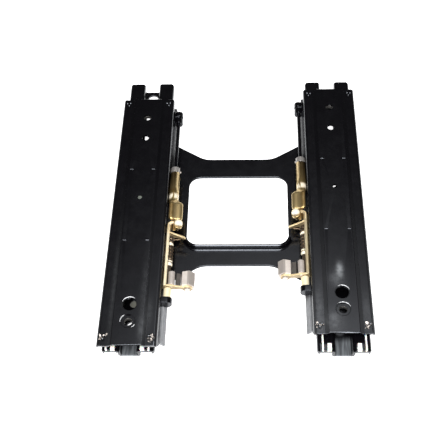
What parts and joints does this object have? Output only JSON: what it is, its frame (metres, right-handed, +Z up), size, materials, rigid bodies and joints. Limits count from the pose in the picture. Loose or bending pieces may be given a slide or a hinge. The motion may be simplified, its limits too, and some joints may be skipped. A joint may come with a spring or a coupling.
{
  "type": "seat slide rail pair",
  "caption": "Pair of vehicle seat slides in black steel, joined by a windowed cross plate, each with a sprung toothed latch on its inner side.",
  "frame": {"origin": "on the ground under the middle of the pair", "axes": "+X across the pair to its right, +Y along the rails to the rear, +Z up"},
  "size_m": [0.28, 0.372, 0.0327],
  "materials": {
    "black_paint": "gloss black electrocoat on pressed steel",
    "yellow_zinc": "yellow passivated zinc on steel",
    "bright_zinc": "bright zinc on steel",
    "plain_zinc": "dull zinc coated sheet",
    "spring_steel": "zinc plated spring wire",
    "bearing_steel": "hardened ground steel",
    "white_nylon": "moulded natural nylon"
  },
  "bodies": {
    "base": {"lower_rail_left": "black_paint", "lower_rail_right": "black_paint", "cross_plate": "black_paint", "plate_welds": "black_paint", "end_glides": "white_nylon"},
    "carriage_left": {"upper_rail_left": "black_paint", "side_skirt_left": "plain_zinc", "seat_nuts_left": "bright_zinc", "front_ring_left": "black_paint", "rear_bracket_left": "black_paint", "latch_spring_left": "spring_steel"},
    "latch_left": {"latch_lever_left": "yellow_zinc", "pivot_pin_left": "yellow_zinc", "release_tube_left": "yellow_zinc", "tube_bush_left": "bright_zinc", "cross_pin_left": "bright_zinc", "rear_rod_left": "black_paint", "tongue_rivet_left": "yellow_zinc", "link_stud_left": "bright_zinc", "stud_nuts_left": "bright_zinc", "hook_pin_left": "bright_zinc", "stop_pad_left": "black_paint"},
    "cage_left": {"roller_cages_left": "white_nylon", "rollers_left": "bearing_steel", "track_balls_left": "bearing_steel", "ball_spacers_left": "white_nylon"},
    "carriage_right": {"upper_rail_right": "black_paint", "side_skirt_right": "plain_zinc", "seat_nuts_right": "bright_zinc", "front_ring_right": "black_paint", "rear_bracket_right": "black_paint", "latch_spring_right": "spring_steel"},
    "latch_right": {"latch_lever_right": "yellow_zinc", "pivot_pin_right": "yellow_zinc", "release_tube_right": "yellow_zinc", "tube_bush_right": "bright_zinc", "cross_pin_right": "bright_zinc", "rear_rod_right": "black_paint", "tongue_rivet_right": "yellow_zinc", "link_stud_right": "bright_zinc", "stud_nuts_right": "bright_zinc", "hook_pin_right": "bright_zinc", "stop_pad_right": "black_paint"},
    "cage_right": {"roller_cages_right": "white_nylon", "rollers_right": "bearing_steel", "track_balls_right": "bearing_steel", "ball_spacers_right": "white_nylon"}
  },
  "joints": [
    {"name": "slide_left", "type": "slide", "parent": "base", "child": "carriage_left", "axis": [0, 1, 0], "range_m": [-0.042, 0.084]},
    {"name": "latch_left", "type": "hinge", "parent": "carriage_left", "child": "latch_left", "pos_m": [-0.07265, -0.021, 0.018], "axis": [0, 1, 0], "range_deg": [-14, 0], "stiffness_Nm_per_rad": 0.6, "springref_deg": -28.65},
    {"name": "cage_run_left", "type": "slide", "parent": "base", "child": "cage_left", "axis": [0, 1, 0], "range_m": [-0.021, 0.042]},
    {"name": "slide_right", "type": "slide", "parent": "base", "child": "carriage_right", "axis": [0, 1, 0], "range_m": [-0.056, 0.07]},
    {"name": "latch_right", "type": "hinge", "parent": "carriage_right", "child": "latch_right", "pos_m": [0.07265, -0.007, 0.018], "axis": [0, -1, 0], "range_deg": [-14, 0], "stiffness_Nm_per_rad": 0.6, "springref_deg": -28.65},
    {"name": "cage_run_right", "type": "slide", "parent": "base", "child": "cage_right", "axis": [0, 1, 0], "range_m": [-0.028, 0.035]}
  ],
  "couplings": [
    {"joint": "cage_run_left", "follows": "slide_left", "ratio": 0.5},
    {"joint": "cage_run_right", "follows": "slide_right", "ratio": 0.5}
  ]
}
